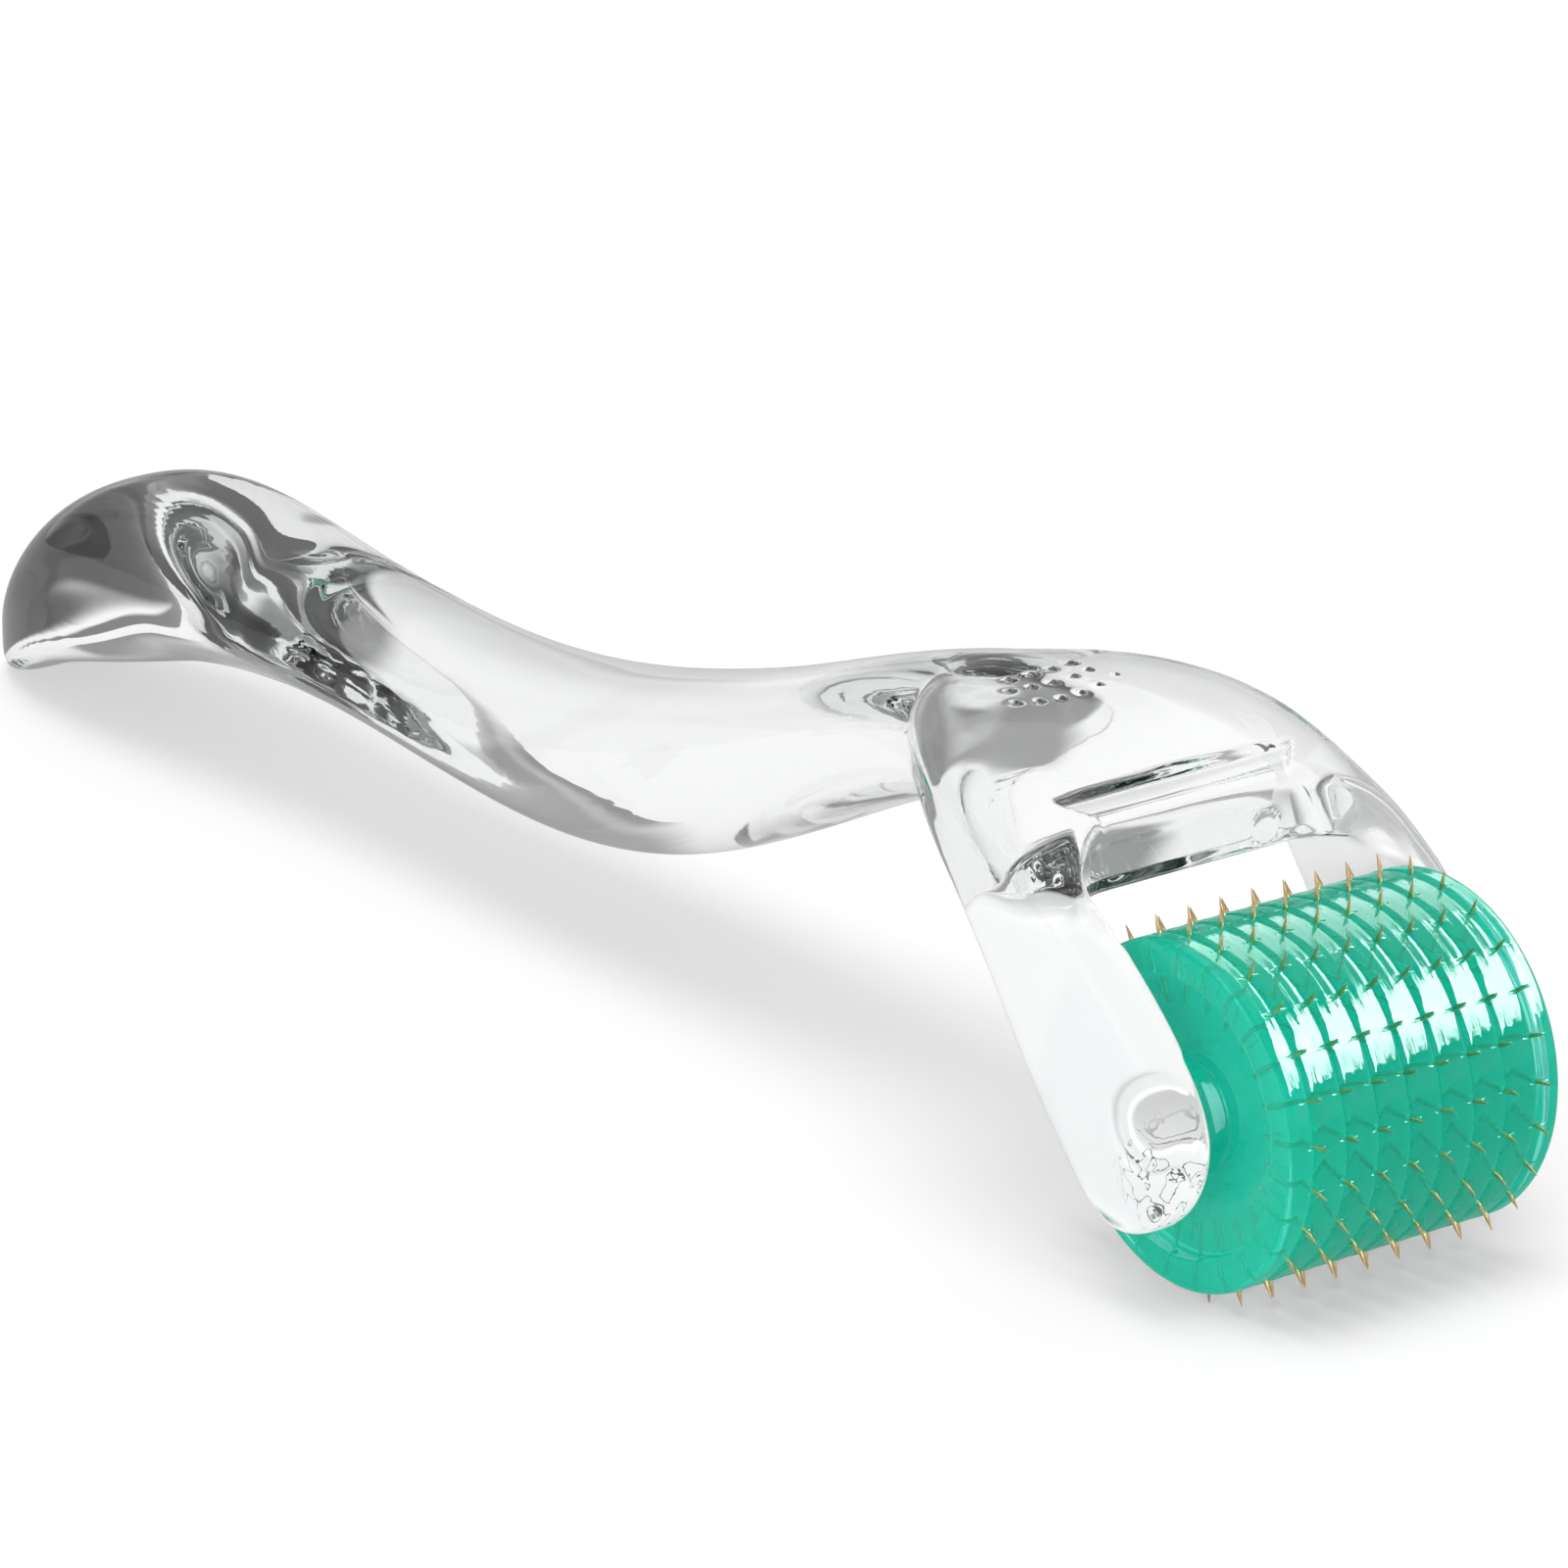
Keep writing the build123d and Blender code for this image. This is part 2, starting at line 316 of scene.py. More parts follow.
def frosting(shader, coords):
    """Frosted shader and its share, for the arms' inner faces and the pivot stubs; the stubs
    carry a painted glow, and the frost near the axle carries painted dark squiggles.
    """
    axes = shader.axes(coords)
    side = shader.math("ABSOLUTE", axes["Y"])
    inner = shader.math("MULTIPLY", shader.fade_in(side, *FROST_Y_START),
                        shader.fade_out(side, *FROST_Y_END))
    dx = shader.math("SUBTRACT", axes["X"], AXLE_X / 1000)
    dz = shader.math("SUBTRACT", axes["Z"], AXLE_Z / 1000)
    inner = shader.math("MULTIPLY", inner, shader.fade_out(dz, *FROST_TOP))
    stub = shader.math("MULTIPLY", shader.fade_out(shader.length(dx, dz), *STUB_RADIUS_FADE),
                       shader.fade_out(side, *STUB_Y_FADE))
    share = shader.math("MULTIPLY", shader.math("MAXIMUM", inner, stub), FROST)

    # dark squiggles near the axle: the wrinkles at the moulding gate are real, their darkness is
    # painted refraction of darker surroundings
    noise = shader.add("TexNoise", {"Vector": coords, "Scale": 430, "Distortion": 2.5})
    from_middle = shader.math("ABSOLUTE", shader.math("SUBTRACT", noise.outputs["Fac"], 0.5))
    painted_squiggle_offset = shader.length(shader.math("ADD", dx, -0.0008), shader.math("ADD", dz, 0.0026))
    painted_squiggle = shader.math("MULTIPLY", shader.fade_out(from_middle, *SQUIGGLE_FADE),
                       shader.fade_out(painted_squiggle_offset, *SQUIGGLE_AREA_FADE))
    diffuse = shader.add("BsdfDiffuse", {"Color": shader.mix_color(painted_squiggle, PALE, PAINTED_REFRACTION_COLOR)})
    # painted glow: an emission lights the stub, which sits in shade inside the cap's bore, so it
    # reads as pale as the arm
    painted_glow = shader.add("Emission", {"Strength": shader.math("MULTIPLY", stub, STUB_PAINTED_GLOW)})
    return share, shader.add("AddShader", {0: diffuse, 1: painted_glow})


def clear_plastic():
    """Polished water-clear plastic, lightly frosted on the inner faces of the two arms."""
    material, shader = new_material("clear_plastic")
    coords = shader.object_coords()
    waves = shader.add("TexNoise", {"Vector": coords, "Scale": 130, "Detail": 1})
    ripple = shader.add("Bump", {
        "Strength": 0.05, "Distance": 0.0003, "Height": waves.outputs["Fac"]})
    patches = shader.add("TexNoise", {"Vector": coords, "Scale": 60})
    roughness = shader.add("MapRange", {
        "Value": patches.outputs["Fac"], "To Min": 0.0, "To Max": 0.012})
    glass = shader.add("BsdfGlass", {
        "IOR": 1.50, "Color": (0.966, 0.969, 0.969, 1), "Roughness": roughness,
        "Normal": stud_bump(shader, coords, ripple)})
    share, frosted = frosting(shader, coords)
    surface = shader.mix_shader(share, glass, frosted)
    shader.add("OutputMaterial", {
        "Surface": shader.soft_shadow(surface, tint=(0.75, 0.75, 0.755, 1))})
    return material


# ------------------------------------------------------------------ green plastic and gold
GREEN = (0.008, 0.45, 0.31, 1)
RIDGE = 0.28                      # ridge height against the fine turned lines
RIDGES_PER_DISC = 3


def turned_bump(shader):
    """Fine turned lines round the rims, and shallow ridges round each disc."""
    coords = shader.object_coords()
    stretched = shader.add("Mapping", {"Vector": coords, "Scale": (60, 5200, 60)})
    lines = shader.add("TexNoise", {"Vector": stretched, "Scale": 1, "Detail": 3})
    turns = 2 * math.pi * (1000 * RIDGES_PER_DISC) / PITCH
    wave = shader.math("COSINE", shader.math("MULTIPLY", shader.axes(coords)["Y"], turns))
    height = shader.math("MULTIPLY_ADD", wave, RIDGE, lines.outputs["Fac"])
    return shader.add("Bump", {"Strength": 1.0, "Distance": 0.000012, "Height": height})


def green_plastic():
    material, shader = new_material("green_plastic")
    bump = turned_bump(shader)
    glass = shader.add("BsdfGlass", {
        "IOR": 1.49, "Color": (0.80, 0.90, 0.89, 1), "Roughness": 0.0, "Normal": bump})
    diffuse = shader.add("BsdfDiffuse", {"Color": GREEN, "Normal": bump})
    translucent = shader.add("BsdfTranslucent", {"Color": GREEN})
    body = shader.add("AddShader", {0: diffuse, 1: translucent})
    surface = shader.mix_shader(0.26, glass, body)
    # no absorption for shadow and diffuse rays: shadows under the drum stay neutral
    density = shader.add("MapRange", {
        "Value": shader.shadow_or_diffuse(), "To Min": 340, "To Max": 0})
    volume = shader.add("VolumeAbsorption", {
        "Color": (0.03, 0.96, 0.91, 1), "Density": density})
    shader.add("OutputMaterial", {
        "Surface": shader.soft_shadow(surface, tint=(0.93, 0.93, 0.93, 1)), "Volume": volume})
    return material


def color_ramp(shader, factor, start, end):
    ramp = shader.add("ValToRGB", {0: factor})
    ramp.color_ramp.elements[0].color = start
    ramp.color_ramp.elements[1].color = end
    return ramp


def gold_needle():
    material, shader = new_material("gold_needle")
    noise = shader.add("TexNoise", {"Vector": shader.object_coords(), "Scale": 3000})
    grain = color_ramp(shader, noise.outputs["Fac"],
                       start=(0.58, 0.38, 0.17, 1), end=(0.95, 0.71, 0.41, 1))
    # painted shade: needles seen through the plastic take a darker green colour than the bare
    # tips
    rays = shader.rays()
    color = shader.mix_color(rays["Is Transmission Ray"], grain, (0.26, 0.60, 0.44, 1))
    metal = shader.add("BsdfPrincipled", {
        "Metallic": 1, "Base Color": color, "Roughness": 0.28})
    # no coloured bounce from the needles on to the table
    passing = shader.add("BsdfTransparent", {0: (0.8, 0.8, 0.8, 1)})
    shader.add("OutputMaterial", {
        "Surface": shader.mix_shader(rays["Is Diffuse Ray"], metal, passing)})
    return material


CLEAR = clear_plastic()
GREEN_PLASTIC = green_plastic()
GOLD = gold_needle()
for name, ob in frame["nodes"].items():
    if name == "clear_handle":
        material = CLEAR
    else:
        material = GOLD if name.startswith("needle") else GREEN_PLASTIC
    for slot in ob.material_slots:
        slot.material = material

# ------------------------------------------------------------------ clear handle
# Cross sections from the tail to the arm ends:
# upper edge x, z; lower edge x, z; half width; superellipse exponent
SECTIONS = [
    (-129.30, -10.00, -129.30, -10.70, 0.80, 2.2), (-128.95, -8.60, -128.95, -11.05, 1.90, 2.2),
    (-128.00, -6.60, -128.00, -11.20, 3.20, 2.3), (-126.40, -3.90, -126.40, -11.00, 4.40, 2.3),
    (-124.00, -1.00, -124.00, -10.10, 5.60, 2.3), (-121.00, 1.80, -121.00, -8.90, 6.55, 2.3),
    (-116.50, 4.45, -116.50, -7.40, 7.25, 2.3), (-111.00, 5.75, -111.00, -6.05, 7.50, 2.3),
    (-104.00, 5.50, -104.00, -4.40, 7.25, 2.3), (-96.00, 4.60, -96.00, -3.25, 6.60, 2.3),
    (-88.00, 4.10, -88.00, -3.10, 6.20, 2.3), (-80.00, 4.05, -80.00, -3.75, 6.15, 2.3),
    (-72.00, 4.65, -72.00, -4.45, 6.35, 2.3), (-64.00, 5.97, -64.00, -4.50, 6.60, 2.3),
    (-56.00, 7.95, -56.00, -3.20, 6.70, 2.3), (-48.00, 10.40, -48.00, -0.25, 6.75, 2.3),
    (-40.50, 13.10, -39.50, 3.90, 6.80, 2.3), (-33.50, 15.40, -32.00, 7.40, 6.90, 2.3),
    (-28.00, 16.75, -26.50, 9.20, 7.40, 2.4), (-23.50, 17.30, -22.00, 9.40, 9.30, 2.6),
    (-19.00, 17.00, -19.00, 8.50, 11.20, 3.0), (-14.60, 15.80, -16.60, 7.20, 12.40, 3.4),
    (-10.60, 14.10, -14.80, 5.50, 13.00, 4.0), (-6.50, 12.30, -13.00, 3.20, 13.15, 4.6),
    (-2.80, 9.95, -11.20, 0.60, 13.15, 5.0), (0.70, 7.15, -9.35, -2.10, 13.10, 5.0),
    (3.75, 3.85, -7.15, -4.70, 13.05, 5.0), (6.00, 0.00, -4.00, -7.80, 13.00, 5.0),
    (7.60, -3.20, -1.00, -10.00, 12.95, 5.0)]
# Widening of the hood: upper edge x, half width, superellipse exponent
HOOD = [
    (-31, 3.0, 2.4), (-29.5, 5.0, 2.5), (-28.2, 6.75, 2.6), (-26.5, 8.15, 2.7),
    (-24, 9.7, 2.8), (-21, 11.15, 2.9), (-18, 12.1, 3.1), (-14.6, 12.75, 3.4),
    (-10.6, 13.08, 4.0), (-6.5, 13.15, 4.6), (-2.8, 13.15, 5.0), (0.7, 13.10, 5.0),
    (3.75, 13.05, 5.0), (6.0, 13.0, 5.0), (7.6, 12.95, 5.0)]
SAMPLES = 1100                    # sections interpolated along the handle
NECK_END = -33.5                  # the neck keeps its width from here on
NECK_EXPONENT = 2.3
HOOD_BLEND_START, HOOD_CUT_START = -33.0, -32.0
HOOD_LEAST_WIDTH = 2.0
WIDTH_AVERAGE = 25                # samples averaged along the hood's width
HEEL_START, HEEL_LENGTH, HEEL_SQUARENESS = -104.0, 14.0, 2.2
TIP_X, TIP_Z, TIP_R = -1.55, -0.15, 6.20          # round arm ends
TIP_DIR_X, TIP_DIR_Z = -2.8 / 3.855, 2.65 / 3.855  # from the round end back along the arm
WINDOW_X, WINDOW_CORNER = -9.75, 4.2
WINDOW_HALF = 20                  # half length, running out past the arm ends
THROAT_X, THROAT_Z, THROAT_R = -16.2, 9.40, 3.0
RECESS_X = -12.25                 # tail-side end of the recess
MARK_Y, MARK_Z, MARK_R, MARK_WIRE = 4.8, 10.75, 1.0, 0.13
PIVOT_OUT = 11.4                  # outer end of bosses and stubs, inside the arms
# Pivot parts: radius, inner end, edge rounding, blend into the arm
PIVOTS = [(2.6, 9.75, 0.3, 0.5), (1.5, 6.9, 0.4, 0.15)]
STUD_R, STUD_SINK, STUD_BLEND = 0.35, 0.13, 0.12
STUD_REACH = 8                    # grid steps worked on round each stud


def handle_grid():
    """Grid coordinates, finer along X at the hood."""
    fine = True
    handle_x = np.arange(-131.0, HOOD_CUT_START, 0.42 if fine else 0.7)
    hood_x = np.arange(HOOD_CUT_START, 6.5, 0.18 if fine else 0.35)
    step = 0.19 if fine else 0.35
    return (np.concatenate([handle_x, hood_x]).astype(np.float32),
            np.arange(-14.4, 14.41, step).astype(np.float32),
            np.arange(-12.4, 19.2, step).astype(np.float32))


def section_curves():
    """The six columns of SECTIONS, sampled smoothly along the handle."""
    table = np.array(SECTIONS)
    middle = (table[:, 0:2] + table[:, 2:4]) / 2
    steps = np.hypot(*np.diff(middle, axis=0).T) + 0.25
    knots = np.concatenate([[0], np.cumsum(steps)])
    samples = np.linspace(knots[0], knots[-1], SAMPLES)
    return [spline(knots, table[:, i])(samples) for i in range(6)]


def locate_in_sections(x, z, curves):
    """For each (x, z): the section it lies on, and its height there, -1 to 1 at the edges."""
    grid_x, grid_z = np.meshgrid(x, z, indexing="ij")
    nearest = np.full(grid_x.shape, 9.0)
    section = np.zeros(grid_x.shape)
    height = np.full(grid_x.shape, 9.0)
    previous = None
    for k, (upper_x, upper_z, lower_x, lower_z) in enumerate(zip(*curves[:4])):
        mid_x, mid_z = (upper_x + lower_x) / 2, (upper_z + lower_z) / 2
        half_x, half_z = (upper_x - lower_x) / 2, (upper_z - lower_z) / 2
        side = (grid_x - mid_x) * half_z - (grid_z - mid_z) * half_x
        along = (grid_x - mid_x) * half_x + (grid_z - mid_z) * half_z
        up = along / (half_x * half_x + half_z * half_z)
        if previous is not None:
            side0, up0 = previous
            passed = (side0 < 0) != (side < 0)
            part = np.where(passed, side0 / np.where(passed, side0 - side, 1), 0)
            up_here = up0 + part * (up - up0)
            better = passed & (np.abs(up_here) < nearest)
            nearest = np.where(better, np.abs(up_here), nearest)
            height = np.where(better, up_here, height)
            section = np.where(better, k - 1 + part, section)
        previous = (side, up)
    return section, np.clip(height, -9, 9)


def tube_field(section, height, grid, width, exponent, under=None):
    """Approximate distance to a superellipse tube; under adds to the exponent below."""
    x, y, z = grid

    def spread(values):
        values = np.interp(section, np.arange(len(values)), values)
        return values.astype(np.float32)[:, None, :]

    w = spread(width)
    n = spread(exponent)
    if under is not None:
        n = np.where(height[:, None, :] < 0, n + spread(under), n)
    h = np.abs(height).astype(np.float32)[:, None, :]
    field = ((np.abs(y)[None, :, None] / w) ** n + h ** n) ** (1 / n) - 1
    slope = np.gradient(field, x, axis=0)
    squares = slope * slope
    for axis, coords in ((1, y), (2, z)):
        slope = np.gradient(field, coords, axis=axis)
        squares += slope * slope
    return np.clip(field / np.maximum(np.sqrt(squares), 0.05), -5, 5).astype(np.float32)


def handle_body(grid):
    """Neck and tail, blended with the wider hood, still without openings."""
    x, y, z = grid
    curves = section_curves()
    section, height = locate_in_sections(x, z, curves)
    upper_x = curves[0]

    neck_width = curves[4].copy()
    end = int(np.argmin(np.abs(upper_x - NECK_END)))
    neck_width[end:] = neck_width[end]
    neck_exponent = np.where(upper_x > NECK_END, NECK_EXPONENT, curves[5])
    # the tail is flatter underneath, so that it rests on its heel
    q = np.clip((HEEL_START - upper_x) / HEEL_LENGTH, 0, 1)
    under = HEEL_SQUARENESS * q * q * (3 - 2 * q)
    field = tube_field(section, height, grid, neck_width, neck_exponent, under)

    hood_x, hood_width, hood_exponent = np.array(HOOD).T
    first = int(np.argmin(np.abs(upper_x - hood_x[0])))
    width = np.full(len(upper_x), HOOD_LEAST_WIDTH)
    width[first:] = np.interp(upper_x[first:], hood_x, hood_width)
    padded = np.pad(width, WIDTH_AVERAGE // 2, mode="edge")
    width = np.convolve(padded, np.ones(WIDTH_AVERAGE) / WIDTH_AVERAGE, "valid")
    exponent = np.interp(upper_x, hood_x, hood_exponent)
    i = int(np.searchsorted(x, HOOD_BLEND_START))
    hood = tube_field(section[i:], height[i:], (x[i:], y, z), width, exponent)
    field[i:] = smooth_min(field[i:], hood, 0.30)

    field = np.maximum(field, SECTIONS[0][0] - x[:, None, None])
    # flat heel on the table
    return smooth_max(field, -AXLE_Z - z[None, None, :], 0.25)


def cut_hood(hood, x, y, z):
    """Rounds the arm ends, opens the hood and adds the pivots; x, y, z broadcast."""
    side = np.abs(y)
    arm = -((x - TIP_X) * TIP_DIR_X + (z - TIP_Z) * TIP_DIR_Z)
    end = np.hypot(x - TIP_X, z - TIP_Z) - TIP_R
    hood = smooth_max(hood, np.minimum(arm, end), 0.8)

    # shallow tapered recess on top, round the tail-side end of the window
    flank = (side - (8.45 - 0.86 * (x - RECESS_X))) / 1.32
    bottom = (14.02 - 0.25 * (x + 12.2)) - z
    recess = np.maximum(np.maximum(RECESS_X - x, flank), bottom)
    hood = smooth_max(hood, -recess, 0.12)

    # window above, throat below
    ends = np.abs(x - (WINDOW_X + WINDOW_HALF)) - WINDOW_HALF
    window = rounded_corner(ends, side - ARM_IN, WINDOW_CORNER)
    window = np.maximum(window, THROAT_Z - z)
    throat = rounded_corner(THROAT_X - x, z - THROAT_Z, THROAT_R)
    throat = smooth_max(throat, side - ARM_IN, 1.0)
    hood = smooth_max(hood, -smooth_min(window, throat, 0.6), 1.0)

    # ring-shaped ejector mark on the tail-side wall of the window
    circle = np.hypot(y - MARK_Y, z - MARK_Z) - MARK_R
    ring = np.hypot(circle, x - WINDOW_X) - MARK_WIRE
    hood = smooth_max(hood, -ring, 0.1)

    # bosses and pivot stubs
    r = np.hypot(x, z)
    for radius, inner_end, rounding, blend in PIVOTS:
        length = np.maximum(inner_end - side, side - PIVOT_OUT)
        hood = smooth_min(hood, smooth_max(r - radius, length, rounding), blend)
    return hood


def add_studs(field, x, y, z):
    """Small balls sunk into the top of the hood."""
    for stud_x, stud_y in STUDS:
        i = int(np.argmin(np.abs(x - stud_x)))
        j = int(np.argmin(np.abs(y - stud_y)))
        column = field[i, j]
        k = int(np.nonzero(column < 0)[0].max())
        top = z[k] + (z[k + 1] - z[k]) * column[k] / (column[k] - column[k + 1])
        si, sj, sk = (slice(c - STUD_REACH, c + STUD_REACH + 1) for c in (i, j, k))
        ball = np.sqrt((x[si][:, None, None] - stud_x) ** 2
                       + (y[sj][None, :, None] - stud_y) ** 2
                       + (z[sk][None, None, :] - (top - STUD_SINK)) ** 2) - STUD_R
        field[si, sj, sk] = smooth_min(field[si, sj, sk], ball, STUD_BLEND)


def build_handle():
    x, y, z = grid = handle_grid()
    field = handle_body(grid)
    i = int(np.searchsorted(x, HOOD_CUT_START))
    field[i:] = cut_hood(field[i:], x[i:][:, None, None], y[None, :, None], z[None, None, :])
    add_studs(field, x, y, z)
    verts, faces = surface_nets(field)
    for axis, coords in enumerate(grid):
        verts[:, axis] = np.interp(verts[:, axis], np.arange(len(coords)), coords)
    verts = relax(verts, faces, steps=6)
    ob = mesh_object("handle_clear_moulding", verts, faces, CLEAR, "handle")
    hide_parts("clear_handle")


build_handle()

# ------------------------------------------------------------------ drum discs and end caps
SEAMS = [(k - (ROWS - 1) / 2) * PITCH for k in range(ROWS)]
SEAM_GAP = 0.012                  # from a seam to the face on either side
DRUM_R = 10.0
CROWN = 0.018                     # drop of a disc's land at its edges
BORE_R, KEYWAY_R, KEYWAY_HALF = 4.04, 4.64, 0.66
NOTCHED_R = 9.0                   # needles notch the drum outside this radius
SHANK_R = 0.155
SLIT_DEPTH, SLIT_HALF_LENGTH, SLIT_TAPER = 0.17, 0.74, 1.4
SHARP_ANGLE = 38
FACE_RADII = (4.70, 5.98, 6.06, 7.0, 8.0, 8.8, 9.3, 9.5, 9.62)
# Groove flank at a seam: radius, distance from the face
FLANK = [(9.80, 0.0), (9.83, 0.025), (9.87, 0.06), (9.91, 0.10), (9.94, 0.14), (9.957, 0.18)]


def drum_columns():
    """Angles round the drum, close together at each needle, and the angle to that needle."""
    step = 2 * math.pi / PER_ROW
    # tenths of a radian from a needle
    close = [0, 0.035, 0.07, 0.10, 0.125, 0.15, 0.18, 0.22, 0.30]
    wide = 8
    offsets = [-v for v in close[:0:-1]] + close
    offsets += [0.30 + (2.618 - 0.60) * i / wide for i in range(1, wide)]
    offsets = np.array(offsets) / 10
    angles = [math.radians(PHASE) + k * step + offsets for k in range(PER_ROW)]
    nearest = np.where(offsets > step / 2, offsets - step, offsets)
    return np.concatenate(angles), np.tile(nearest, PER_ROW)


ANGLES, NEEDLE_ANGLES = drum_columns()


def in_keyway():
    """Which columns fall in one of the four keyways of the bore."""
    key = np.zeros(len(ANGLES), bool)
    for quarter in range(4):
        off = (ANGLES - quarter / 2 * math.pi + math.pi) % (2 * math.pi) - math.pi
        key |= (np.abs(KEYWAY_R * np.sin(off)) < KEYWAY_HALF) & (np.abs(off) < 1)
    return key


def ring_piece(name, profile, seams, node, keyed=False):
    """Closed (r, y) loop swept round Y and notched at the needles of the given seams."""
    profile = np.array(profile, float)
    m, n = len(profile), len(ANGLES)
    r = np.tile(profile[:, 0], (n, 1))
    y = np.tile(profile[:, 1], (n, 1))
    for seam in seams:
        across = np.abs(NEEDLE_ANGLES[:, None]) * r
        from_seam = np.abs(y - seam)
        side = 1.0 if profile[:, 1].mean() > seam else -1.0
        # lens-shaped slit in the rim at each needle
        depth = SLIT_DEPTH * (1 - from_seam / SLIT_HALF_LENGTH) - SLIT_TAPER * across
        r = r - np.where(r > NOTCHED_R, np.maximum(0, depth), 0)
        # half-round notch for the needle shank in the face
        shank = np.sqrt(np.maximum(0, SHANK_R ** 2 - across ** 2))
        notch = np.where(r > NOTCHED_R, shank, 0)
        y = np.where(from_seam < SHANK_R, seam + side * np.maximum(from_seam, notch), y)
    if keyed:
        r[:, profile[:, 0] < 4.2] = np.where(in_keyway()[:, None], KEYWAY_R, BORE_R)
    x, z = r * np.cos(ANGLES)[:, None], r * np.sin(ANGLES)[:, None]
    verts = np.stack([x, y, z], 2).reshape(-1, 3)
    here = np.arange(n)[:, None] * m
    beside = (np.arange(n) + 1)[:, None] % n * m
    point = np.arange(m)[None, :]
    after = (point + 1) % m
    quads = [here + point, here + after, beside + after, beside + point]
    faces = np.stack(quads, 2).reshape(-1, 4)
    # faces point outward when the signed volume is positive
    a, b, c = (verts[faces[:, i]] for i in range(3))
    if np.einsum("ij,ij->i", a, np.cross(b, c)).sum() < 0:
        faces = faces[:, ::-1].copy()
    ob = mesh_object(name, verts, faces, GREEN_PLASTIC, "roller")
    ob.data.set_sharp_from_angle(angle=math.radians(SHARP_ANGLE))
    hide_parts(node)


def disc_rim(y0, y1):
    """Rim of a disc: a groove flank at each seam and a slightly crowned land."""
    edge = FLANK[-1][1]
    middle = (y0 + y1) / 2
    half = (y1 - y0) / 2 - edge
    land = [(DRUM_R - CROWN * ((y - middle) / half) ** 2, y)
            for y in np.linspace(y0 + edge, y1 - edge, 15)[1:-1]]
    return [(r, y0 + d) for r, d in FLANK] + land + [(r, y1 - d) for r, d in FLANK[::-1]]


def disc_profile(y0, y1):
    radii = (BORE_R,) + FACE_RADII
    return [(r, y0) for r in radii] + disc_rim(y0, y1) + [(r, y1) for r in radii[::-1]]


def arc(centre_r, centre_y, radius, start, end, steps):
    points = []
    for i in range(steps + 1):
        angle = math.radians(start + (end - start) * i / steps)
        points.append((centre_r + radius * math.cos(angle), centre_y + radius * math.sin(angle)))
    return points


def cap_profile():
    """The +Y cap: sleeve, inner face, rim with a rounded outer corner, dished recess, hub."""
    y0 = SEAMS[-1] + SEAM_GAP
    sleeve = [(1.56, 6.45), (1.62, 6.40), (2.64, 6.40), (2.70, 6.46), (2.70, 7.2),
              (2.70, y0 - 0.02), (2.72, y0)]
    face = [(r, y0) for r in FACE_RADII]
    # rim beside the seam: radius, distance from the inner face
    flank = [(9.70, 0), (9.745, 0.035), (9.80, 0.08), (9.86, 0.14), (9.92, 0.20),
             (9.97, 0.27), (DRUM_R, 0.36), (DRUM_R, 0.55)]
    rim = [(r, y0 + d) for r, d in flank] + [(DRUM_R, 8.75)]
    rim += arc(9.45, 9.05, 0.55, 0, 90, 9)
    rim += [(9.0, 9.60), (8.6, 9.60)]
    recess = arc(8.22, 9.42, 0.18, 90, 170, 4) + [(7.98, 9.10)]
    recess += arc(7.50, 9.05, 0.40, 0, -90, 6)
    recess += [(7.2, 8.65), (6.0, 8.65), (4.6, 8.65), (3.8, 8.65)]
    recess += arc(3.66, 8.97, 0.32, 270, 190, 4)
    hub = [(3.30, 9.3)] + arc(3.16, 9.46, 0.14, 0, 90, 3)
    hub += [(2.4, 9.60), (1.70, 9.60), (1.56, 9.50), (1.56, 8.0)]
    return sleeve + face + rim + recess + hub


def build_drum():
    for k in range(1, ROWS):
        seams = (SEAMS[k - 1], SEAMS[k])
        profile = disc_profile(seams[0] + SEAM_GAP, seams[1] - SEAM_GAP)
        ring_piece(f"drum_disc_{k}", profile, seams, f"ring_disc_{k}", keyed=True)
    cap = cap_profile()
    ring_piece("drum_cap_right", cap, (SEAMS[-1],), "end_cap_right")
    ring_piece("drum_cap_left", [(r, -y) for r, y in cap], (SEAMS[0],), "end_cap_left")


build_drum()

# ------------------------------------------------------------------ table and surroundings (m)
# Painted shade on the table, such as the contact shade under the tail, seen only through the
# plastic: centre x, y, half sizes x, y, edge softness, darkness
PAINTED_SHADE_PATCHES = [
    (-0.079, 0.004, 0.022, 0.018, 0.003, 0.95), (-0.105, 0.030, 0.019, 0.016, 0.003, 0.85),
    (0.013, 0.016, 0.011, 0.009, 0.0015, 0.12)]
MIRROR_DIMMING = 0.45             # of the table in direct reflections
# Dark studio flags: azimuth, half width, lowest and highest elevation, softness, all in
# degrees, and darkness
FLAGS = [
    (-148, 32, -6, 36, 5, 0.86), (150, 38, 4, 40, 6, 0.66), (142, 9, -5, 4, 3, 0.70),
    (-45, 60, 10, 60, 15, 0.75), (40, 34, 14, 62, 8, 0.93)]


def darken(shader, total, cover, darkness):
    """Multiplies a running brightness by that of one more dark patch."""
    light = shader.invert(shader.math("MULTIPLY", cover, darkness))
    return light if total is None else shader.math("MULTIPLY", total, light)


# painted shade: brightness of the table after its dark shade patches
def painted_shade_light(shader, coords):
    axes = shader.axes(coords)

    def inside(value, middle, half, soft):
        offset = shader.math("ABSOLUTE", shader.math("SUBTRACT", value, middle), 0.0)
        return shader.fade_in(offset, half + soft, half - soft)

    total = None
    for x, y, half_x, half_y, soft, darkness in PAINTED_SHADE_PATCHES:
        cover = shader.math("MULTIPLY", inside(axes["X"], x, half_x, soft),
                            inside(axes["Y"], y, half_y, soft))
        total = darken(shader, total, cover, darkness)
    return total


